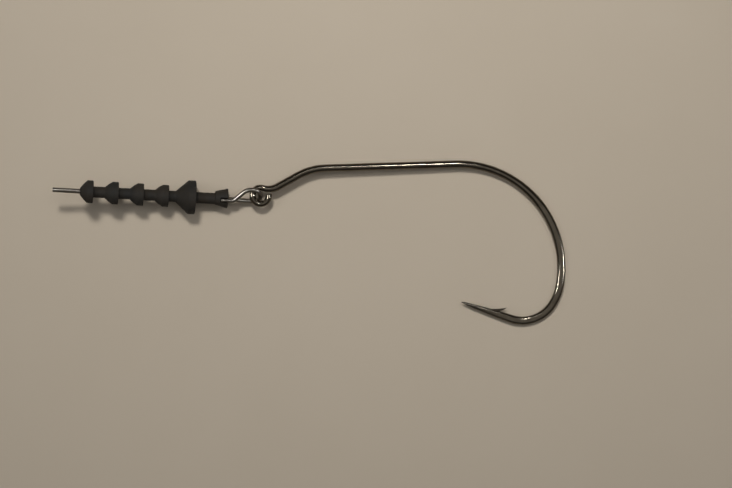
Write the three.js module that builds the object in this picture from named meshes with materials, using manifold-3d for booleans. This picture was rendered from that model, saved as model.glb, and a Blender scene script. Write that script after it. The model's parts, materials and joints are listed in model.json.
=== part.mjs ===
// Offset-shank worm hook with a bait keeper hinged in its eye. Millimetres, +Z up.
// Three pieces: the hook, a keeper wire threaded through the hook's ring eye, and the barbed
// plastic sleeve on that wire. The assembly lies on its side: the sleeve's flange and the outside
// of the hook's bend rest on z = 0.
import * as THREE from 'three';
import { mergeVertices } from 'three/addons/utils/BufferGeometryUtils.js';
import Module from 'manifold-3d';

const wasm = await Module();
wasm.setup();

const degree = Math.PI / 180;

// Hook wire, from the cut end at the eye to the point. Every bend lies in one plane.
const shankRadius = 0.6;
const eyeWireRadius = 0.5;
const eyeRadius = 1.3; // middle of the wire, round the ring
const eyeEndBearing = 10 * degree; // where the cut end stops, just under the shank
const eyeTurn = 298 * degree;
const neckRadius = 3; // the reverse bend where the wire leaves the ring
const neckTurn = 47.1 * degree;
const offsetLegLength = 3.55;
const offsetBendRadius = 9.8;
const offsetBendTurn = 27.3 * degree;
const shankLength = 20.75;
const bends = [
  { radius: 16.55, turn: 101.2 * degree },
  { radius: 8.45, turn: 23.5 * degree },
  { radius: 5.7, turn: 75.8 * degree },
];
const pointLegLength = 8.4;
const hookSides = 16;

// Forging: from part way round the large bend to the point, the wire is pressed flat top and bottom.
const forgedHalfWidth = 0.66;
const forgedHalfThickness = 0.525;
const forgingStart = 8.5; // along the large bend
const forgingRun = 8;

// Point and barb. The barb is measured back from the tip and out from the middle of the wire.
const pointLength = 8.9;
const pointFullness = 0.62; // 1 would be a straight cone
const tipShare = 0.05; // of the full wire is left at the very tip
const barbSunk = 0.1; // the barb's root starts this far off the wire's middle
const barbRoot = { back: 4.2, rise: 0.3 };
const barbBelly = { back: 5.9, rise: 0.72 };
const barbTip = { back: 7.15, rise: 1.47 };
const barbHollow = { back: 6.75, rise: 0.8 };
const barbHeel = { back: 6.3, rise: 0.42 };
const barbHalfThickness = 0.24;
const barbThinning = 0.75; // how much thinner the barb is at its tip than at its root

// Keeper wire. Its straight run is the nose pin and the core of the sleeve.
const keeperWireRadius = 0.375;
const keeperBearing = 177 * degree; // the way the nose points, seen from above
const keeperPitch = 8.4 * degree; // nose up, because the flange holds the sleeve off the surface
const keeperAxisOffset = 0.82; // how far the straight run passes beside the eye's centre
const pinEnd = 33.1; // along the keeper's axis, from abreast of the eye
const linkGap = 1.08; // middle of the link's strands, above and below the middle of the ring
const linkBendRadius = 1;
const keeperSides = 12;

// Keeper sleeve, measured along the same axis.
const sleeveFront = 28.8;
const sleeveRear = 5.32;
const sleeveFrontRadius = 0.53;
const neckHalf = 0.86;
const barbCount = 4;
const barbRear = 26.71; // rear face of the first barb
const barbPitch = 3.98;
const firstBarbRadius = 1.78;
const barbShrink = 0.02; // each barb is this much smaller in radius than the one before
const barbConeLength = 1.2;
const barbCrestLength = 0.95;
const edgeRound = 0.12;
const flangeRadius = 2.66;
const flangeFront = 13.63;
const flangeCrest = 11.64;
const flangeRear = 10.51;
const tailBarbFront = 7.33;
const tailBarbFrontRadius = 1.08;
const tailBarbRearRadius = 1.6;
const tailBarbShift = 0.13; // the tail barb stands this far off the sleeve's axis
const boreClearance = 0.05;
const tailLift = 0.96; // the tail of the wire lies in a slot this far above the sleeve's axis
const tailSide = 0.22; // and this far off it the other way from the tail barb
const tailEnd = 6.45;
const slotEnd = 6.55;
const slotTop = 3; // clear above the tail barb
const sleeveSides = 28;

// How the hook lies: its eye is held up in the keeper's link, and the bend touches the surface.
const eyeHeight = 2.1;
const leanBearing = -20 * degree; // downhill direction of the hook's plane

const xAxis = new THREE.Vector3(1, 0, 0);
const yAxis = new THREE.Vector3(0, 1, 0);
const zAxis = new THREE.Vector3(0, 0, 1);

// The centreline of a formed wire: straight feeds and round bends laid end to end. The wire's own
// frame (+X along it) travels with it and never twists.
class WirePath {
  constructor(point, direction) {
    this.legs = [];
    this.length = 0;
    this.point = point.clone();
    this.frame = new THREE.Quaternion().setFromUnitVectors(xAxis, direction.clone().normalize());
  }

  direction() {
    return xAxis.clone().applyQuaternion(this.frame);
  }

  addLeg(length, axis, turn, centre) {
    const leg = { start: this.length, length, axis, turn, centre };
    leg.point = this.point.clone();
    leg.frame = this.frame.clone();
    this.legs.push(leg);
    this.length += length;
    const end = this.at(this.length);
    this.point = end.point;
    this.frame = end.frame;
  }

  feed(length) {
    this.addLeg(length, null, 0, null);
  }

  bend(radius, turn, axis) {
    const inward = axis.clone().cross(this.direction()).multiplyScalar(radius * Math.sign(turn));
    this.addLeg(radius * Math.abs(turn), axis, turn, this.point.clone().add(inward));
  }

  // Feeds and bends through a row of corners, each rounded to its own radius.
  follow(corners) {
    for (let i = 0; i < corners.length; i += 1) {
      const toCorner = corners[i].point.clone().sub(this.point);
      if (i === corners.length - 1) {
        this.feed(toCorner.length());
        return;
      }
      const onward = corners[i + 1].point.clone().sub(corners[i].point).normalize();
      const turn = toCorner.angleTo(onward);
      const axis = toCorner.clone().cross(onward).normalize();
      this.feed(toCorner.length() - corners[i].radius * Math.tan(turn / 2));
      this.bend(corners[i].radius, turn, axis);
    }
  }

  at(s) {
    const leg = this.legs.findLast((candidate) => candidate.start <= s + 1e-9);
    const along = s - leg.start;
    if (!leg.axis) {
      const step = xAxis.clone().applyQuaternion(leg.frame).multiplyScalar(along);
      return { point: leg.point.clone().add(step), frame: leg.frame.clone() };
    }
    const turned = new THREE.Quaternion().setFromAxisAngle(leg.axis, (leg.turn * along) / leg.length);
    const point = leg.point.clone().sub(leg.centre).applyQuaternion(turned).add(leg.centre);
    return { point, frame: turned.multiply(leg.frame) };
  }

  // Distances along the wire that need a ring of vertices: leg ends, steps round bends, and extras.
  stations(bendStep, extras) {
    const marks = [0, ...extras];
    for (const leg of this.legs) {
      const steps = Math.max(1, Math.round(Math.abs(leg.turn) / bendStep));
      for (let k = 1; k <= steps; k += 1) marks.push(leg.start + (leg.length * k) / steps);
    }
    marks.sort((a, b) => a - b);
    return marks.filter((mark, i) => i === 0 || mark - marks[i - 1] > 0.02);
  }
}

// A wire is turned as a straight blank of unit radius and then bent along its path. section(s)
// says how the round blank is drawn down or forged there.
function formWire(path, stations, sides, section) {
  const profile = [new THREE.Vector2(0, stations[0])];
  for (const s of stations) profile.push(new THREE.Vector2(1, s));
  profile.push(new THREE.Vector2(0, stations.at(-1)));
  const blank = new THREE.LatheGeometry(profile, sides);
  const vertices = blank.attributes.position;
  const vertex = new THREE.Vector3();
  for (let i = 0; i < vertices.count; i += 1) {
    vertex.fromBufferAttribute(vertices, i);
    const { point, frame } = path.at(vertex.y);
    const { halfWidth, halfHeight, flat } = section(vertex.y);
    const across = vertex.z * halfWidth;
    const up = THREE.MathUtils.clamp(vertex.x * halfHeight, -flat, flat);
    vertex.set(0, across, up).applyQuaternion(frame).add(point);
    vertices.setXYZ(i, vertex.x, vertex.y, vertex.z);
  }
  return blank;
}

function toSolid(geometry) {
  const plain = geometry.clone();
  plain.deleteAttribute('normal');
  plain.deleteAttribute('uv');
  const merged = mergeVertices(plain, 1e-5);
  const indices = Array.from(merged.index.array);
  const kept = [];
  for (let i = 0; i < indices.length; i += 3) {
    const [a, b, c] = indices.slice(i, i + 3);
    if (a !== b && b !== c && c !== a) kept.push(a, b, c);
  }
  return new wasm.Manifold(
    new wasm.Mesh({
      numProp: 3,
      vertProperties: new Float32Array(merged.attributes.position.array),
      triVerts: new Uint32Array(kept),
    }),
  );
}

function toGeometry(solid) {
  const mesh = solid.getMesh();
  const geometry = new THREE.BufferGeometry();
  geometry.setAttribute('position', new THREE.BufferAttribute(mesh.vertProperties, 3));
  geometry.setIndex(new THREE.BufferAttribute(mesh.triVerts, 1));
  geometry.computeVertexNormals();
  return geometry;
}

// ---- Hook ----

function makeHookPath() {
  const start = new THREE.Vector3(eyeRadius, 0, 0).applyAxisAngle(zAxis, eyeEndBearing);
  const direction = new THREE.Vector3(0, -1, 0).applyAxisAngle(zAxis, eyeEndBearing);
  const path = new WirePath(start, direction);
  path.bend(eyeRadius, -eyeTurn, zAxis);
  path.bend(neckRadius, neckTurn, zAxis);
  path.feed(offsetLegLength);
  path.bend(offsetBendRadius, -offsetBendTurn, zAxis);
  path.feed(shankLength);
  for (const { radius, turn } of bends) path.bend(radius, -turn, zAxis);
  path.feed(pointLegLength);
  return path;
}

const hookPath = makeHookPath();
const [, neckLeg, offsetLeg, , , largeBend] = hookPath.legs;

function hookSection(s) {
  const { smoothstep, lerp } = THREE.MathUtils;
  const drawn = smoothstep(s, neckLeg.start, offsetLeg.start);
  const round = lerp(eyeWireRadius, shankRadius, drawn);
  const forgedFrom = largeBend.start + forgingStart;
  const forged = smoothstep(s, forgedFrom, forgedFrom + forgingRun);
  const back = Math.max(0, hookPath.length - s);
  const taper = Math.min(1, (back / pointLength) ** pointFullness + tipShare);
  return {
    halfWidth: lerp(round, forgedHalfWidth, forged) * taper,
    halfHeight: round * taper,
    flat: lerp(round, forgedHalfThickness, forged) * taper,
  };
}

// The barb is a thin spur lifted off the inner side of the point, thinning towards its tip.
function makeBarb() {
  const outline = new THREE.Shape();
  outline.moveTo(barbRoot.back, barbSunk);
  outline.lineTo(barbRoot.back, barbRoot.rise);
  outline.quadraticCurveTo(barbBelly.back, barbBelly.rise, barbTip.back, barbTip.rise);
  outline.quadraticCurveTo(barbHollow.back, barbHollow.rise, barbHeel.back, barbHeel.rise);
  outline.lineTo(barbHeel.back, barbSunk);
  outline.closePath();
  const spur = new THREE.ExtrudeGeometry(outline, {
    depth: 2 * barbHalfThickness,
    bevelEnabled: false,
    curveSegments: 6,
  });
  spur.translate(0, 0, -barbHalfThickness);
  const vertices = spur.attributes.position;
  for (let i = 0; i < vertices.count; i += 1) {
    const rise = vertices.getY(i) / barbTip.rise;
    vertices.setZ(i, vertices.getZ(i) * (1 - barbThinning * rise));
  }
  // In the wire's frame the tip is ahead (+X) and the inner side is to the right (-Y).
  spur.rotateZ(Math.PI);
  const { point, frame } = hookPath.at(hookPath.length);
  spur.applyQuaternion(frame);
  spur.translate(point.x, point.y, point.z);
  return spur;
}

function makeHook() {
  const pointStart = hookPath.length - pointLength;
  const extras = [pointStart];
  for (const share of [0.25, 0.5, 0.7, 0.85, 0.95]) extras.push(pointStart + pointLength * share);
  const stations = hookPath.stations(9 * degree, extras);
  const wire = formWire(hookPath, stations, hookSides, hookSection);
  return toGeometry(toSolid(wire).add(toSolid(makeBarb())));
}

// The hook leans downhill from its eye until the outside of the large bend touches z = 0.
function leanHook(mesh) {
  const downhill = xAxis.clone().applyAxisAngle(zAxis, leanBearing);
  const axis = zAxis.clone().cross(downhill);
  const box = new THREE.Box3();
  let lean = 0;
  for (let pass = 0; pass < 8; pass += 1) {
    mesh.quaternion.setFromAxisAngle(axis, lean);
    box.setFromObject(mesh, true);
    lean += box.min.z / box.max.x;
  }
}

// ---- Keeper ----

// Height of the keeper's axis abreast of the eye, from the ring's middle, with the flange at z = 0.
const keeperAxisHeight =
  flangeRadius * Math.cos(keeperPitch) - (flangeRear + edgeRound) * Math.sin(keeperPitch) - eyeHeight;

// A point in the sleeve: along its axis, above it and beside it, in the keeper's level frame.
function sleevePoint(along, lift = 0, side = 0) {
  const point = new THREE.Vector3(along, side, lift).applyAxisAngle(yAxis, -keeperPitch);
  return point.add(new THREE.Vector3(0, keeperAxisOffset, keeperAxisHeight));
}

function makeKeeperPath() {
  const corner = (x, y, z, radius) => ({ point: new THREE.Vector3(x, y, z), radius });
  const path = new WirePath(sleevePoint(pinEnd), sleevePoint(0).sub(sleevePoint(1)));
  path.follow([
    { point: sleevePoint(4.7), radius: 1.5 },
    corner(2.1, 0.92, -linkGap, 1.5),
    corner(0.05, 0.78, -linkGap, linkBendRadius), // under the ring
    corner(0.05, -0.76, linkGap, linkBendRadius), // up through the eye
    corner(2.13, -0.88, linkGap, 2), // back over the ring
    { point: sleevePoint(4.45, tailLift, tailSide), radius: 0.8 },
    { point: sleevePoint(tailEnd, tailLift, tailSide), radius: 0 },
  ]);
  return path;
}

function makeKeeperWire() {
  const path = makeKeeperPath();
  const round = { halfWidth: keeperWireRadius, halfHeight: keeperWireRadius, flat: keeperWireRadius };
  return toGeometry(toSolid(formWire(path, path.stations(11 * degree, []), keeperSides, () => round)));
}

// Outer profile of the sleeve, from its rear face to its front face, as (radius, distance along).
function sleeveProfile() {
  const profile = [];
  const add = (radius, along) => profile.push(new THREE.Vector2(radius, along));
  add(0, sleeveRear);
  add(neckHalf, sleeveRear);
  add(neckHalf, flangeRear);
  add(flangeRadius - edgeRound, flangeRear);
  add(flangeRadius, flangeRear + edgeRound);
  add(flangeRadius, flangeCrest - edgeRound);
  add(flangeRadius - edgeRound, flangeCrest + edgeRound);
  add(neckHalf, flangeFront);
  for (let i = barbCount - 1; i >= 0; i -= 1) {
    const rear = barbRear - i * barbPitch;
    const radius = firstBarbRadius - i * barbShrink;
    const crest = rear + barbCrestLength;
    add(neckHalf, rear);
    add(radius - edgeRound, rear);
    add(radius, rear + edgeRound);
    add(radius, crest - edgeRound);
    add(radius - edgeRound, crest + edgeRound / 2);
    if (i > 0) add(neckHalf, crest + barbConeLength);
  }
  add(sleeveFrontRadius, sleeveFront);
  add(0, sleeveFront);
  return profile;
}

function turned(profile, sides) {
  return new THREE.LatheGeometry(profile, sides);
}

function makeSleeve() {
  const body = turned(sleeveProfile(), sleeveSides);
  const tailBarb = turned(
    [
      new THREE.Vector2(0, sleeveRear),
      new THREE.Vector2(tailBarbRearRadius - edgeRound, sleeveRear),
      new THREE.Vector2(tailBarbRearRadius, sleeveRear + edgeRound),
      new THREE.Vector2(tailBarbFrontRadius, tailBarbFront),
      new THREE.Vector2(0, tailBarbFront),
    ],
    sleeveSides,
  );
  const boreRadius = keeperWireRadius + boreClearance;
  const bore = new THREE.CylinderGeometry(boreRadius, boreRadius, 2 * sleeveFront, 16);
  // The lathe turns about +Y; the sleeve's axis is +X with the slot on +Z.
  for (const geometry of [body, tailBarb, bore]) geometry.rotateZ(-Math.PI / 2);
  tailBarb.translate(0, -tailBarbShift, 0);

  // A round-bottomed slot, open upwards and to the rear, for the wire's tail.
  const slotOutline = new THREE.Shape();
  slotOutline.moveTo(tailSide - boreRadius, slotTop);
  slotOutline.lineTo(tailSide - boreRadius, tailLift);
  slotOutline.absarc(tailSide, tailLift, boreRadius, Math.PI, 2 * Math.PI, false);
  slotOutline.lineTo(tailSide + boreRadius, slotTop);
  slotOutline.closePath();
  const slot = new THREE.ExtrudeGeometry(slotOutline, {
    depth: slotEnd,
    bevelEnabled: false,
    curveSegments: 5,
  });
  slot.rotateX(Math.PI / 2); // outline up (+Y) to +Z, depth (+Z) to -Y
  slot.rotateZ(Math.PI / 2); // depth to +X

  return toGeometry(toSolid(body).add(toSolid(tailBarb)).subtract(toSolid(bore)).subtract(toSolid(slot)));
}

// ---- Assembly ----

const blackNickel = new THREE.MeshStandardMaterial({ color: 0x3b352c, roughness: 0.25, metalness: 0.95 });
const stainless = new THREE.MeshStandardMaterial({ color: 0x8d8880, roughness: 0.3, metalness: 1 });
const darkPlastic = new THREE.MeshStandardMaterial({ color: 0x2f2c27, roughness: 0.6, metalness: 0 });

const hook = new THREE.Mesh(makeHook(), blackNickel);
hook.name = 'hook';
hook.position.z = eyeHeight;
leanHook(hook);

const keeperWire = new THREE.Mesh(makeKeeperWire(), stainless);
keeperWire.name = 'keeper_wire';

const sleeve = new THREE.Mesh(makeSleeve(), darkPlastic);
sleeve.name = 'keeper_sleeve';
sleeve.position.set(0, keeperAxisOffset, keeperAxisHeight);
sleeve.rotation.y = -keeperPitch;

const keeper = new THREE.Group();
keeper.add(keeperWire, sleeve);
keeper.position.z = eyeHeight;
keeper.rotation.z = keeperBearing;

const part = new THREE.Group();
part.add(hook, keeper);

// The origin is the middle of the bottom of the whole part.
part.updateMatrixWorld(true);
const bounds = new THREE.Box3().setFromObject(part, true);
const middle = bounds.getCenter(new THREE.Vector3());
part.position.set(-middle.x, -middle.y, -bounds.min.z);

export default part;
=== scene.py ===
import json
import math

import bmesh
import bpy
from mathutils import Matrix, Quaternion, Vector


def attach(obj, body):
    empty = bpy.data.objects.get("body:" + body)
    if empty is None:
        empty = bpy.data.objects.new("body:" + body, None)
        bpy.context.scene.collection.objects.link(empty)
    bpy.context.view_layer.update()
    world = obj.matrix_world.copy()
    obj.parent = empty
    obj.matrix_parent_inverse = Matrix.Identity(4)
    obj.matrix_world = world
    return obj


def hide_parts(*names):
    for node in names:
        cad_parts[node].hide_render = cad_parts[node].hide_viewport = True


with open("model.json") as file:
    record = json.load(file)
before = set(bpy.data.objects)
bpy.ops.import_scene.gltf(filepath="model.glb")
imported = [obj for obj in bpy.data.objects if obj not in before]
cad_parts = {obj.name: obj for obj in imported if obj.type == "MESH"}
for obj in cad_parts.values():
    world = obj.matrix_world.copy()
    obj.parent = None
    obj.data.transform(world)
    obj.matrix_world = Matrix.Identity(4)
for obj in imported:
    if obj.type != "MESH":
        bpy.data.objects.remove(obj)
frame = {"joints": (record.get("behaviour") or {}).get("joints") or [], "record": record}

# A worm hook with a bait keeper linked through its eye, lying on a pale floor and seen from
# above. Shapes are worked out in millimetres and stored in metres.
MM = 0.001
DEG = math.pi / 180
X = Vector((1, 0, 0))
Y = Vector((0, 1, 0))
Z = Vector((0, 0, 1))

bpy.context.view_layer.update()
EYE = Vector(frame["joints"][0]["pos_m"]) / MM
HOOK_UNDERSIDE = Vector(frame["record"]["mounts"][0]["axis"])

# ---- Sizes ----

SHANK_RADIUS = 0.6
EYE_WIRE_RADIUS = 0.5
EYE_RADIUS = 1.3  # middle of the wire, round the ring
EYE_END_BEARING = 10 * DEG
EYE_TURN = 298 * DEG
NECK_RADIUS = 3.0
NECK_TURN = 47.1 * DEG
OFFSET_LEG = 3.55
OFFSET_BEND = (9.8, 27.3 * DEG)  # radius and turn
SHANK_LENGTH = 20.75
BENDS = [(16.55, 101.2 * DEG), (8.45, 23.5 * DEG), (5.7, 75.8 * DEG)]
POINT_LEG = 8.4
CUT_EDGE = 0.1  # round on the wire's cut end
HOOK_SIDES = 48  # of the wire's mesh, round the wire
HOOK_STEPS = (2 * DEG, 0.6)  # of the wire's mesh, round a bend and along a straight run

FORGED_HALF_WIDTH = 0.66
FORGED_HALF_THICKNESS = 0.525
FORGING_START = 8.5  # along the large bend
FORGING_RUN = 8

POINT_LENGTH = 8.9
POINT_FULLNESS = 0.62
TIP_SHARE = 0.06  # of the full wire is left at the very tip
FACET_RUN = (6.5, 2.5)  # the ground facets fade in between these distances from the tip
FACET_POWER = 1.75  # 2 would be round and 1 a square on its corner
GROUND_ROUGHNESS = 0.22
GROUND_TONE = 0.45  # of the plating's, where the point is ground
# The barb's control points, as (back from the tip, rise off the wire's middle).
BARB_TOP = [(4.2, 0.3), (5.9, 0.72), (7.15, 1.47)]
BARB_FOOT = [(4.6, 0.05), (6.75, 0.48), (7.12, 1.42)]
BARB_HALF_THICKNESS = (0.3, 0.03)  # at its root and at its tip
BARB_THINNING = 0.8  # under 1, most of the thinning is near the root
BARB_SIDES = 16
BARB_STEPS = 18

KEEPER_WIRE_RADIUS = 0.375
KEEPER_BEARING = 177 * DEG
KEEPER_PITCH = 8.4 * DEG
KEEPER_AXIS_OFFSET = 0.82
KEEPER_SIDES = 32
KEEPER_STEPS = (3 * DEG, 0.6)
# The keeper wire's corners. Two lie on the sleeve's axis and two beside it, above its middle.
PIN_END = 33.1
PIN_EDGE = 0.06  # round on the wire's cut ends
CORE_END = (4.7, 1.5)  # along the axis, and the bend's radius
TAIL_START = (4.45, 0.8)
TAIL_END = 6.45
TAIL_LIFT = 0.96
TAIL_SIDE = 0.22
# The link's corners, measured from the middle of the ring, and their bends' radii.
LINK_GAP = 1.08
LINK = [
    ((2.1, 0.92, -LINK_GAP), 1.5),
    ((0.05, 0.78, -LINK_GAP), 1.0),
    ((0.05, -0.76, LINK_GAP), 1.0),
    ((2.13, -0.88, LINK_GAP), 2.0),
]

SLEEVE_FRONT = 28.8
SLEEVE_REAR = 5.32
SLEEVE_FRONT_RADIUS = 0.53
NECK_HALF = 0.86
FLANGE_RADIUS = 2.66
FLANGE = (13.63, 11.64, 10.51)  # foot of the cone, end of the crest, rear face
# The sleeve's barbs are short cones.
CONE_COUNT = 4
CONE_REAR = 26.71  # rear face of the first one
CONE_PITCH = 3.98
CONE_RADIUS = (1.78, 0.02)  # the first one's, and how much smaller each one after it is
CONE_CREST = 0.95
CONE_LENGTH = 1.2
CONE_BULGE = (0.07, 0.6)  # how far the cone stands out from straight, and its rounding
TAIL_BARB = (7.33, 1.08, 1.6)  # front face, then its radius there and at the rear
TAIL_BARB_SHIFT = 0.13
SLOT = (4.0, 6.55, 3.0)  # start, end and top
EDGE_ROUND = 0.12
ROOT_ROUND = 0.15
MOUTH_ROUND = (0.03, 0.06)  # on the bore's front edge and on the rim round it
REAR_ROUND = (0.04, 0.05)  # the same at the rear
BORE_RADIUS = 0.425
PARTING_LINE = (0.025, 0.05)  # height and half width
SLEEVE_SIDES = 96
SLEEVE_STEP = 0.4  # longest face, along the sleeve


# ---- Wire forming ----

class WirePath:
    """A wire's centreline, as straight feeds and round bends. Its frame travels along untwisted."""

    def __init__(self, point, direction):
        self.legs = []  # (start, length, point, frame, axis, turn, centre)
        self.length = 0.0
        self.point = point.copy()
        self.frame = X.rotation_difference(direction)

    def add_leg(self, length, axis, turn, centre):
        here = (self.point.copy(), self.frame.copy())
        self.legs.append((self.length, length, *here, axis, turn, centre))
        self.length += length
        self.point, self.frame = self.at(self.length)

    def feed(self, length):
        self.add_leg(length, None, 0.0, None)

    def bend(self, radius, turn, axis=Z):
        inward = axis.cross(self.frame @ X) * math.copysign(radius, turn)
        self.add_leg(radius * abs(turn), axis, turn, self.point + inward)

    def follow(self, corners):
        """Feeds and bends through corners of (point, radius). The last one is the wire's end."""
        for (corner, radius), (after, _) in zip(corners, corners[1:]):
            arriving, leaving = corner - self.point, after - corner
            turn = arriving.angle(leaving)
            self.feed(arriving.length - radius * math.tan(turn / 2))
            self.bend(radius, turn, arriving.cross(leaving).normalized())
        self.feed((corners[-1][0] - self.point).length)

    def at(self, s):
        leg = next(leg for leg in reversed(self.legs) if leg[0] <= s + 1e-9)
        start, length, point, turned, axis, turn, centre = leg
        if axis is None:
            return point + (turned @ X) * (s - start), turned.copy()
        part = Quaternion(axis, turn * (s - start) / length)
        return centre + part @ (point - centre), part @ turned

    def stations(self, bend_step, feed_step, extras):
        """Distances along the wire for its rings, none closer than 0.01 mm to the last."""
        marks = {0.0, *extras}
        for start, length, _, _, axis, turn, _ in self.legs:
            steps = math.ceil(abs(turn) / bend_step) if axis else math.ceil(length / feed_step)
            marks.update(start + length * k / max(1, steps) for k in range(max(1, steps) + 1))
        marks = sorted(marks)
        return [m for i, m in enumerate(marks) if i == 0 or m - marks[i - 1] > 0.01]


def smoothstep(value, low, high):
    t = min(1.0, max(0.0, (value - low) / (high - low)))
    return t * t * (3 - 2 * t)


def lerp(a, b, t):
    return a + (b - a) * t


def bezier(a, b, c, t):
    return a * (1 - t) ** 2 + b * 2 * t * (1 - t) + c * t ** 2


def ring_mesh(name, rings, lengths, loop=False):
    """A closed skin over rings of points. Its UVs are (distance along, share of the way round)."""
    sides = len(rings[0])
    bm = bmesh.new()
    uv = bm.loops.layers.uv.new("wire")
    rows = [[bm.verts.new(p) for p in ring] for ring in rings]
    pairs = list(zip(range(len(rows)), range(1, len(rows))))
    if loop:
        pairs.append((len(rows) - 1, 0))
    for a, b in pairs:
        for k in range(sides):
            nxt = (k + 1) % sides
            face = bm.faces.new((rows[a][k], rows[a][nxt], rows[b][nxt], rows[b][k]))
            around = (k / sides, (k + 1) / sides, (k + 1) / sides, k / sides)
            along = (lengths[a], lengths[a], lengths[b], lengths[b])
            for corner, u, v in zip(face.loops, along, around):
                corner[uv].uv = (u, v)
    if not loop:
        bm.faces.new(list(reversed(rows[0])))
        bm.faces.new(rows[-1])
    bmesh.ops.recalc_face_normals(bm, faces=bm.faces)
    mesh = bpy.data.meshes.new(name)
    bm.to_mesh(mesh)
    bm.free()
    piece = bpy.data.objects.new(name, mesh)
    bpy.context.scene.collection.objects.link(piece)
    return piece


def wire_piece(name, path, stations, sides, section):
    """section(s, angle) gives a skin point's offsets across and up, in millimetres."""
    rings = []
    for s in stations:
        centre, turned = path.at(s)
        ring = []
        for k in range(sides):
            across, up = section(s, 2 * math.pi * k / sides)
            ring.append(centre + turned @ Vector((0, across, up)))
        rings.append(ring)
    return ring_mesh(name, rings, stations)


def end_round(s, length, radius, edge):
    """How much of the radius is left where a cut end is broken over to a small edge."""
    inset = max(0.0, edge - min(s, length - s))
    return 1 - (edge - math.sqrt(max(0.0, edge * edge - inset * inset))) / radius


def edge_stations(edge, steps):
    """Distances from a cut end that draw its small round."""
    return [edge * (1 - math.cos(k * 90 / steps * DEG)) for k in range(steps + 1)]


def soft_limit(value, limit, sharpness=10):
    """Keeps value inside plus or minus limit, with a small round where it meets it."""
    return value / (1 + abs(value / limit) ** sharpness) ** (1 / sharpness)


def boolean(piece, cutter, operation):
    modifier = piece.modifiers.new(operation.lower(), "BOOLEAN")
    modifier.operation = operation
    modifier.object = cutter
    modifier.solver = "EXACT"
    bake(piece)
    bpy.data.objects.remove(cutter)


def bake(piece):
    """Turns the piece's modifiers into its mesh."""
    depsgraph = bpy.context.evaluated_depsgraph_get()
    mesh = bpy.data.meshes.new_from_object(piece.evaluated_get(depsgraph))
    piece.modifiers.clear()
    piece.data = mesh


def smooth(piece, sharp_angle=40 * DEG):
    """Smooth shading, broken at edges sharper than the angle."""
    bm = bmesh.new()
    bm.from_mesh(piece.data)
    for face in bm.faces:
        face.smooth = True
    for edge in bm.edges:
        edge.smooth = edge.calc_face_angle(math.pi) < sharp_angle
    bm.to_mesh(piece.data)
    bm.free()


def place(piece, matrix):
    """Moves the mesh itself into the row frame, in metres."""
    piece.data.transform(Matrix.Scale(MM, 4) @ matrix)
    piece.data.update()


# ---- Hook ----

def make_hook_path():
    start = Quaternion(Z, EYE_END_BEARING) @ (X * EYE_RADIUS)
    path = WirePath(start, Quaternion(Z, EYE_END_BEARING) @ -Y)
    path.bend(EYE_RADIUS, -EYE_TURN)
    path.bend(NECK_RADIUS, NECK_TURN)
    path.feed(OFFSET_LEG)
    path.bend(OFFSET_BEND[0], -OFFSET_BEND[1])
    path.feed(SHANK_LENGTH)
    for radius, turn in BENDS:
        path.bend(radius, -turn)
    path.feed(POINT_LEG)
    return path


def make_hook(path):
    neck, offset_leg, large_bend = (path.legs[i][0] for i in (1, 2, 5))

    def section(s, angle):
        round_radius = lerp(EYE_WIRE_RADIUS, SHANK_RADIUS, smoothstep(s, neck, offset_leg))
        forged_from = large_bend + FORGING_START
        forged = smoothstep(s, forged_from, forged_from + FORGING_RUN)
        back = max(0.0, path.length - s)
        taper = min(1.0, (back / POINT_LENGTH) ** POINT_FULLNESS + TIP_SHARE)
        across = lerp(round_radius, FORGED_HALF_WIDTH, forged) * math.cos(angle)
        up = soft_limit(round_radius * math.sin(angle), lerp(2, FORGED_HALF_THICKNESS, forged))
        # The point is ground to four soft facets.
        power = lerp(2, FACET_POWER, 1 - smoothstep(back, FACET_RUN[1], FACET_RUN[0]))
        corner = abs(math.cos(angle)) ** power + abs(math.sin(angle)) ** power
        facet = corner ** (-1 / power)
        share = taper * facet * end_round(s, math.inf, EYE_WIRE_RADIUS, CUT_EDGE)
        return across * share, up * share

    extras = [path.length - POINT_LENGTH * k / 60 for k in range(60)]
    extras += edge_stations(CUT_EDGE, 6)
    stations = path.stations(*HOOK_STEPS, extras)
    piece = wire_piece("hook_wire", path, stations, HOOK_SIDES, section)
    boolean(piece, make_barb(path), "UNION")
    lean = (-Z).rotation_difference(HOOK_UNDERSIDE)
    place(piece, Matrix.Translation(EYE) @ lean.to_matrix().to_4x4())
    smooth(piece)
    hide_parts("hook")
    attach(piece, "hook_body")
    return piece


def make_barb(path):
    """A thin spur, lifted off the inner side of the point. Lengths run back from the tip."""
    rings = []
    for i in range(BARB_STEPS + 1):
        t = i / BARB_STEPS
        top = bezier(*map(Vector, BARB_TOP), t)
        foot = bezier(*map(Vector, BARB_FOOT), t)
        half = lerp(*BARB_HALF_THICKNESS, t ** BARB_THINNING)
        ring = []
        for k in range(BARB_SIDES):
            angle = 2 * math.pi * k / BARB_SIDES
            spot = foot.lerp(top, (1 + math.sin(angle)) / 2)
            ring.append(Vector((-spot.x, -spot.y, half * math.cos(angle))))
        rings.append(ring)
    barb = ring_mesh("barb", rings, range(BARB_STEPS + 1))
    point, turned = path.at(path.length)
    barb.data.transform(Matrix.Translation(point) @ turned.to_matrix().to_4x4())
    return barb


# ---- Keeper ----

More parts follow.
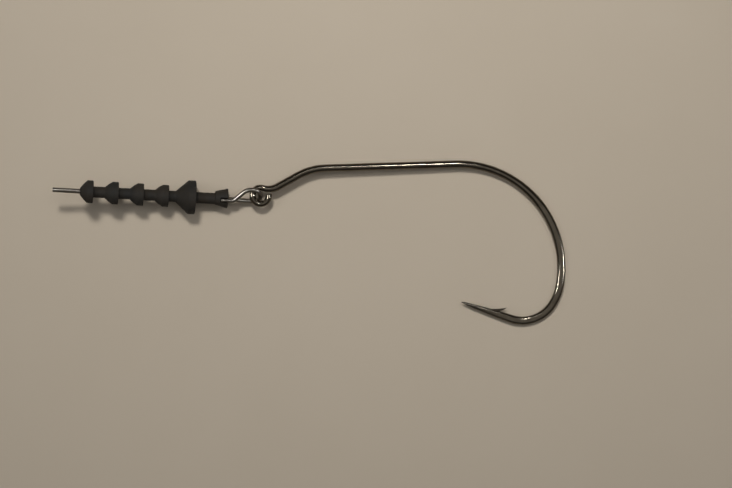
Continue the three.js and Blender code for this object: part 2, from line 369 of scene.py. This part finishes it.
# The sleeve rests on the floor at the flange's rear edge, which sets how high its axis is.
FLANGE_FOOT = FLANGE[2] + EDGE_ROUND
AXIS_HEIGHT = (
    FLANGE_RADIUS * math.cos(KEEPER_PITCH) - FLANGE_FOOT * math.sin(KEEPER_PITCH) - EYE.z
)
KEEPER_MATRIX = Matrix.Translation(EYE) @ Matrix.Rotation(KEEPER_BEARING, 4, "Z")
SLEEVE_MATRIX = (
    KEEPER_MATRIX
    @ Matrix.Translation((0, KEEPER_AXIS_OFFSET, AXIS_HEIGHT))
    @ Matrix.Rotation(-KEEPER_PITCH, 4, "Y")
)


def sleeve_point(along, lift=0.0, side=0.0):
    """A place on or beside the sleeve's axis, measured from the middle of the ring."""
    turned = Quaternion(Y, -KEEPER_PITCH) @ Vector((along, side, lift))
    return turned + Vector((0, KEEPER_AXIS_OFFSET, AXIS_HEIGHT))


def make_keeper_wire():
    path = WirePath(sleeve_point(PIN_END), sleeve_point(0) - sleeve_point(1))
    path.follow([
        (sleeve_point(CORE_END[0]), CORE_END[1]),
        *[(Vector(corner), radius) for corner, radius in LINK],
        (sleeve_point(TAIL_START[0], TAIL_LIFT, TAIL_SIDE), TAIL_START[1]),
        (sleeve_point(TAIL_END, TAIL_LIFT, TAIL_SIDE), 0.0),
    ])

    def section(s, angle):
        radius = KEEPER_WIRE_RADIUS * end_round(s, path.length, KEEPER_WIRE_RADIUS, PIN_EDGE)
        return radius * math.cos(angle), radius * math.sin(angle)

    extras = edge_stations(PIN_EDGE, 5)
    extras += [path.length - e for e in extras]
    stations = path.stations(*KEEPER_STEPS, extras)
    piece = wire_piece("keeper_wire_formed", path, stations, KEEPER_SIDES, section)
    place(piece, KEEPER_MATRIX)
    smooth(piece)
    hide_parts("keeper_wire")
    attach(piece, "keeper_body")
    return piece


def filleted(corners, steps=5):
    """The outline through corners of (along, radius, fillet), with each fillet as a smooth curve."""
    outline = []
    for i, (along, radius, fillet) in enumerate(corners):
        here = Vector((along, radius))
        if not fillet:
            outline.append(here)
            continue
        before = Vector(corners[i - 1][:2]) - here
        after = Vector(corners[(i + 1) % len(corners)][:2]) - here
        half = before.angle(after) / 2
        reach = min(fillet / math.tan(half), 0.45 * before.length, 0.45 * after.length)
        start = here + before.normalized() * reach
        end = here + after.normalized() * reach
        outline += [bezier(start, here, end, k / steps) for k in range(steps + 1)]
    return outline


def sleeve_outline():
    """The turned sleeve's outline, from its rear face forward and back along the bore."""
    edge, root = EDGE_ROUND, ROOT_ROUND
    corners = [(SLEEVE_REAR, BORE_RADIUS, REAR_ROUND[0]), (SLEEVE_REAR, NECK_HALF, REAR_ROUND[1])]
    corners += [(FLANGE[2], NECK_HALF, root), (FLANGE[2], FLANGE_RADIUS, edge)]
    corners += [(FLANGE[1], FLANGE_RADIUS, edge), (FLANGE[0], NECK_HALF, root)]
    for i in reversed(range(CONE_COUNT)):
        rear = CONE_REAR - CONE_PITCH * i
        radius = CONE_RADIUS[0] - CONE_RADIUS[1] * i
        crest = rear + CONE_CREST
        corners += [(rear, NECK_HALF, root), (rear, radius, edge), (crest, radius, edge)]
        foot = (crest + CONE_LENGTH, NECK_HALF) if i else (SLEEVE_FRONT, SLEEVE_FRONT_RADIUS)
        middle = Vector((crest, radius)).lerp(Vector(foot), 0.5)
        corners.append((middle.x, middle.y + CONE_BULGE[0], CONE_BULGE[1]))
        if i:
            corners.append((*foot, root))
    corners.append((SLEEVE_FRONT, SLEEVE_FRONT_RADIUS, MOUTH_ROUND[1]))
    corners.append((SLEEVE_FRONT, BORE_RADIUS, MOUTH_ROUND[0]))
    return filleted(corners)


def lathe(name, outline, shaped=lambda radius, angle: radius):
    """A closed outline of (along, radius), turned about X. shaped() may change the radius."""
    rings = []
    for along, radius in outline:
        ring = []
        for k in range(SLEEVE_SIDES):
            angle = 2 * math.pi * k / SLEEVE_SIDES
            r = shaped(radius, angle)
            ring.append(Vector((along, r * math.sin(angle), r * math.cos(angle))))
        rings.append(ring)
    return ring_mesh(name, rings, [p.x for p in outline], loop=True)


def with_parting_line(radius, angle):
    """A fine line runs down both sides of the moulding, but not inside its bore."""
    if radius <= BORE_RADIUS + 0.01:
        return radius
    off_line = min(abs(angle - math.pi / 2), abs(angle - 1.5 * math.pi))
    height, half_width = PARTING_LINE
    return radius + height * math.exp(-((off_line * radius / half_width) ** 2))


def make_sleeve():
    corners = sleeve_outline()
    outline = []
    for a, b in zip(corners, corners[1:] + corners[:1]):
        steps = max(1, math.ceil((b - a).length / SLEEVE_STEP))
        outline += [a.lerp(b, k / steps) for k in range(steps)]
    piece = lathe("keeper_sleeve_moulded", outline, with_parting_line)
    front, front_radius, rear_radius = TAIL_BARB
    tail_barb = lathe("tail_barb", filleted([
        (SLEEVE_REAR, BORE_RADIUS, 0),
        (SLEEVE_REAR, rear_radius, EDGE_ROUND),
        (front, front_radius, EDGE_ROUND),
        (front, BORE_RADIUS, 0),
    ]))
    tail_barb.data.transform(Matrix.Translation((0, -TAIL_BARB_SHIFT, 0)))
    boolean(piece, tail_barb, "UNION")
    boolean(piece, slot_cutter(), "DIFFERENCE")
    place(piece, SLEEVE_MATRIX)
    smooth(piece)
    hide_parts("keeper_sleeve")
    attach(piece, "keeper_body")
    return piece


def slot_cutter():
    """The round-bottomed slot for the wire's tail, open at the top."""
    start, end, top = SLOT
    outline = []
    for k in range(17):
        angle = math.pi * (1 + k / 16)
        across = TAIL_SIDE + BORE_RADIUS * math.cos(angle)
        up = TAIL_LIFT + BORE_RADIUS * math.sin(angle)
        outline.append(Vector((0, across, up)))
    outline.append(Vector((0, TAIL_SIDE + BORE_RADIUS, top)))
    outline.append(Vector((0, TAIL_SIDE - BORE_RADIUS, top)))
    rings = [[p + X * along for p in outline] for along in (start, end)]
    return ring_mesh("slot", rings, [start, end])


# ---- Materials ----

PLATING = ((0.105, 0.088, 0.066), (0.15, 0.129, 0.1))
STAINLESS = ((0.15, 0.132, 0.108), (0.24, 0.218, 0.188))
PLASTIC = ((0.021, 0.021, 0.020), (0.027, 0.024, 0.020), (0.035, 0.028, 0.021))
SHEET = ((0.600, 0.524, 0.422), (0.615, 0.539, 0.437))
MOTTLE = (0.3, 0.7)  # the share of the noise between the first colour and the last
DRAWING_MARK = 0.000005  # height of the fine lines along the wire, in metres


class Nodes:
    """Short ways to build one material's node tree."""

    def __init__(self, name):
        self.material = bpy.data.materials.new(name)
        self.material.use_nodes = True
        self.tree = self.material.node_tree
        self.shader = self.tree.nodes["Principled BSDF"]

    def add(self, kind, **settings):
        node = self.tree.nodes.new(kind)
        for key, value in settings.items():
            setattr(node, key, value)
        return node

    def link(self, out, into):
        self.tree.links.new(out, into)

    def noise(self, vector, scale, detail=4.0, roughness=0.55):
        node = self.add("ShaderNodeTexNoise")
        node.inputs["Scale"].default_value = scale
        node.inputs["Detail"].default_value = detail
        node.inputs["Roughness"].default_value = roughness
        self.link(vector, node.inputs["Vector"])
        return node.outputs["Fac"]

    def mottled(self, value, colours):
        node = self.add("ShaderNodeValToRGB")
        while len(node.color_ramp.elements) < len(colours):
            node.color_ramp.elements.new(0.5)
        for i, (element, colour) in enumerate(zip(node.color_ramp.elements, colours)):
            element.position = lerp(*MOTTLE, i / (len(colours) - 1))
            element.color = (*colour, 1)
        self.link(value, node.inputs["Fac"])
        return node.outputs["Color"]

    def spread(self, value, low, high):
        """Takes a value from 0 to 1 to low to high."""
        node = self.add("ShaderNodeMapRange")
        node.inputs["To Min"].default_value = low
        node.inputs["To Max"].default_value = high
        self.link(value, node.inputs["Value"])
        return node.outputs["Result"]

    def scaled(self, vector, scale):
        node = self.add("ShaderNodeMapping")
        node.inputs["Scale"].default_value = scale
        self.link(vector, node.inputs["Vector"])
        return node.outputs["Vector"]

    def bump(self, height, strength, distance):
        """Distance is in metres."""
        node = self.add("ShaderNodeBump")
        node.inputs["Strength"].default_value = strength
        node.inputs["Distance"].default_value = distance
        self.link(height, node.inputs["Height"])
        self.link(node.outputs["Normal"], self.shader.inputs["Normal"])

    def blend(self, value, other, share):
        node = self.add("ShaderNodeMix", data_type="FLOAT")
        self.link(value, node.inputs["A"])
        node.inputs["B"].default_value = other
        self.link(share, node.inputs["Factor"])
        return node.outputs["Result"]

    def from_end(self, length, run):
        """Rises from 0 to 1 towards the wire's far end, between two distances from it."""
        split = self.add("ShaderNodeSeparateXYZ")
        self.link(self.wire_place(), split.inputs[0])
        node = self.add("ShaderNodeMapRange")
        node.inputs["From Min"].default_value = length - run[0]
        node.inputs["From Max"].default_value = length - run[1]
        self.link(split.outputs["X"], node.inputs["Value"])
        return node.outputs["Result"]

    def dimmed(self, colour, factor):
        node = self.add("ShaderNodeVectorMath", operation="SCALE")
        self.link(colour, node.inputs[0])
        self.link(factor, node.inputs["Scale"])
        return node.outputs["Vector"]

    def place(self):
        return self.add("ShaderNodeTexCoord").outputs["Object"]

    def wire_place(self):
        return self.add("ShaderNodeUVMap", uv_map="wire").outputs["UV"]

    def drawing_marks(self, along, around):
        """Fine lines along the wire."""
        streak = self.noise(self.scaled(self.wire_place(), (along, around, 1)), 1.0)
        self.bump(streak, 0.2, DRAWING_MARK)


def hook_material(length):
    """Plated wire of the given length, darker and duller where its point is ground."""
    n = Nodes("black_nickel_wire")
    n.shader.inputs["Metallic"].default_value = 1
    where = n.place()
    ground = n.from_end(length, FACET_RUN)
    plating = n.mottled(n.noise(where, 900), PLATING)
    n.link(n.dimmed(plating, n.spread(ground, 1, GROUND_TONE)), n.shader.inputs["Base Color"])
    polished = n.spread(n.noise(where, 2500), 0.06, 0.16)
    n.link(n.blend(polished, GROUND_ROUGHNESS, ground), n.shader.inputs["Roughness"])
    n.drawing_marks(0.6, 24)
    return n.material


def keeper_wire_material():
    n = Nodes("drawn_stainless_wire")
    n.shader.inputs["Metallic"].default_value = 1
    where = n.place()
    n.link(n.mottled(n.noise(where, 1200), STAINLESS), n.shader.inputs["Base Color"])
    n.link(n.spread(n.noise(where, 3000), 0.26, 0.38), n.shader.inputs["Roughness"])
    n.drawing_marks(0.8, 20)
    return n.material


def sleeve_material():
    n = Nodes("dark_moulded_plastic")
    where = n.place()
    n.link(n.mottled(n.noise(where, 260, 3), PLASTIC), n.shader.inputs["Base Color"])
    n.link(n.spread(n.noise(where, 1800), 0.6, 0.8), n.shader.inputs["Roughness"])
    n.shader.inputs["Specular IOR Level"].default_value = 0.15
    n.bump(n.noise(where, 9000, 5, 0.65), 0.35, 0.00003)
    return n.material


def floor_material():
    """A pale sheet with a painted pool of light: its colour is brightest at one place and fades
    darker away from it, standing in for the lights' falloff.
    """
    n = Nodes("pale_floor")
    where = n.place()
    away = n.add("ShaderNodeVectorMath", operation="DISTANCE")
    away.inputs[1].default_value = (VIEW_FOOT + PAINTED_LIGHT_CENTRE) * MM
    n.link(where, away.inputs[0])
    # Painted light: the sheet's colour is scaled up near the painted bright place and down with
    # distance from it.
    fade = n.add("ShaderNodeMapRange")
    fade.inputs["From Max"].default_value = PAINTED_LIGHT_FADE * MM
    fade.inputs["To Min"].default_value = PAINTED_LIGHT_TONES[0]
    fade.inputs["To Max"].default_value = PAINTED_LIGHT_TONES[1]
    n.link(away.outputs["Value"], fade.inputs["Value"])
    sheet = n.mottled(n.noise(where, 40, 3), SHEET)
    n.link(n.dimmed(sheet, fade.outputs["Result"]), n.shader.inputs["Base Color"])
    n.shader.inputs["Roughness"].default_value = 0.7
    n.shader.inputs["Specular IOR Level"].default_value = 0.2
    n.bump(n.noise(where, 3000, 4), 0.08, 0.00005)
    return n.material


def paint(piece, material):
    piece.data.materials.clear()
    piece.data.materials.append(material)


# ---- Floor, light and camera ----

FRAME_WIDTH = 117.12  # the view's width at the height of the hook's bend
VIEW_CENTRE = EYE + Vector((16.82, -7.69, 0))
VIEW_FOOT = Vector((VIEW_CENTRE.x, VIEW_CENTRE.y, 0))
VIEW_HEIGHT = 1.3
CAMERA_DISTANCE = 400
SENSOR_WIDTH = 36
# The floor's painted pool of light: where it is brightest, its brightness there and at the end of
# the fade, and the fade's length.
PAINTED_LIGHT_CENTRE = Vector((0, 75, 0))  # from the middle of the view
PAINTED_LIGHT_TONES = (1.29, 0.783)  # there, and at the end of the fade
PAINTED_LIGHT_FADE = 130  # the fade's length
FLOOR_HALF = 600
WARM = (1.0, 0.97, 0.93)
COOL = (0.93, 0.97, 1.0)
LIGHT_DISTANCE = 1500
# Windows and lamps are (name, bearing, elevation, size, power). Bearing 0 is +X and 90 is +Y.
WINDOWS = [
    ("key_window", 101, 62, (250, 250), 10.2),
    ("right_window", 20, 52, (300, 300), 1.3),
    ("left_window", 170, 45, (400, 400), 1.0),
]
LAMPS = [
    ("back_lamp", 76.5, 69, (100, 60), 3.0),
    ("back_strip", 98, 68, (420, 50), 0.65),
    ("right_lamp", -1, 49, (260, 50), 9.0),
    ("left_lamp", 170, 56, (360, 60), 15.0),
]
# The room's light, and the directions it comes from, as the cosine of the angle from straight up.
WALL = (0.08, math.cos(35 * DEG))
CEILING = (0.5, math.cos(8 * DEG))


def make_floor():
    bm = bmesh.new()
    bmesh.ops.create_grid(bm, x_segments=8, y_segments=8, size=FLOOR_HALF * MM)
    mesh = bpy.data.meshes.new("floor")
    bm.to_mesh(mesh)
    bm.free()
    floor = bpy.data.objects.new("floor", mesh)
    bpy.context.scene.collection.objects.link(floor)
    paint(floor, floor_material())


def area_light(name, bearing, elevation, size, power):
    """An oval light far off, aimed at the middle of the view."""
    light = bpy.data.lights.new(name, "AREA")
    light.shape = "ELLIPSE"
    light.size, light.size_y = size[0] * MM, size[1] * MM
    light.energy = power
    light.color = WARM
    lamp = bpy.data.objects.new(name, light)
    lamp.visible_camera = False
    bpy.context.scene.collection.objects.link(lamp)
    toward = Quaternion(Z, bearing * DEG) @ (Quaternion(-Y, elevation * DEG) @ X)
    lamp.location = (VIEW_FOOT + toward * LIGHT_DISTANCE) * MM
    lamp.rotation_euler = toward.to_track_quat("Z", "Y").to_euler()
    return lamp


def make_light():
    """Three soft windows light the floor and cast the shadows. Small lamps put glints on metal."""
    for window in WINDOWS:
        area_light(*window).visible_glossy = False
    for lamp in LAMPS:
        glint = area_light(*lamp)
        glint.visible_diffuse = False
        glint.data.color = COOL


def make_room():
    """Dim walls under a paler ceiling."""
    world = bpy.data.worlds.new("room")
    world.use_nodes = True
    tree = world.node_tree
    direction = tree.nodes.new("ShaderNodeTexCoord").outputs["Generated"]
    split = tree.nodes.new("ShaderNodeSeparateXYZ")
    height = tree.nodes.new("ShaderNodeMapRange")
    height.interpolation_type = "SMOOTHSTEP"
    height.inputs["To Min"].default_value, height.inputs["From Min"].default_value = WALL
    height.inputs["To Max"].default_value, height.inputs["From Max"].default_value = CEILING
    background = tree.nodes["Background"]
    background.inputs["Color"].default_value = (*WARM, 1)
    tree.links.new(direction, split.inputs[0])
    tree.links.new(split.outputs["Z"], height.inputs["Value"])
    tree.links.new(height.outputs["Result"], background.inputs["Strength"])
    bpy.context.scene.world = world


def make_camera():
    data = bpy.data.cameras.new("camera")
    data.sensor_width = SENSOR_WIDTH
    data.lens = SENSOR_WIDTH * CAMERA_DISTANCE / FRAME_WIDTH
    camera = bpy.data.objects.new("camera", data)
    camera.location = Vector((VIEW_CENTRE.x, VIEW_CENTRE.y, VIEW_HEIGHT + CAMERA_DISTANCE)) * MM
    bpy.context.scene.collection.objects.link(camera)
    bpy.context.scene.camera = camera


make_camera()
make_light()
make_room()
make_floor()
HOOK_PATH = make_hook_path()
paint(make_hook(HOOK_PATH), hook_material(HOOK_PATH.length))
paint(make_keeper_wire(), keeper_wire_material())
paint(make_sleeve(), sleeve_material())
bpy.context.scene.view_settings.view_transform = "Standard"
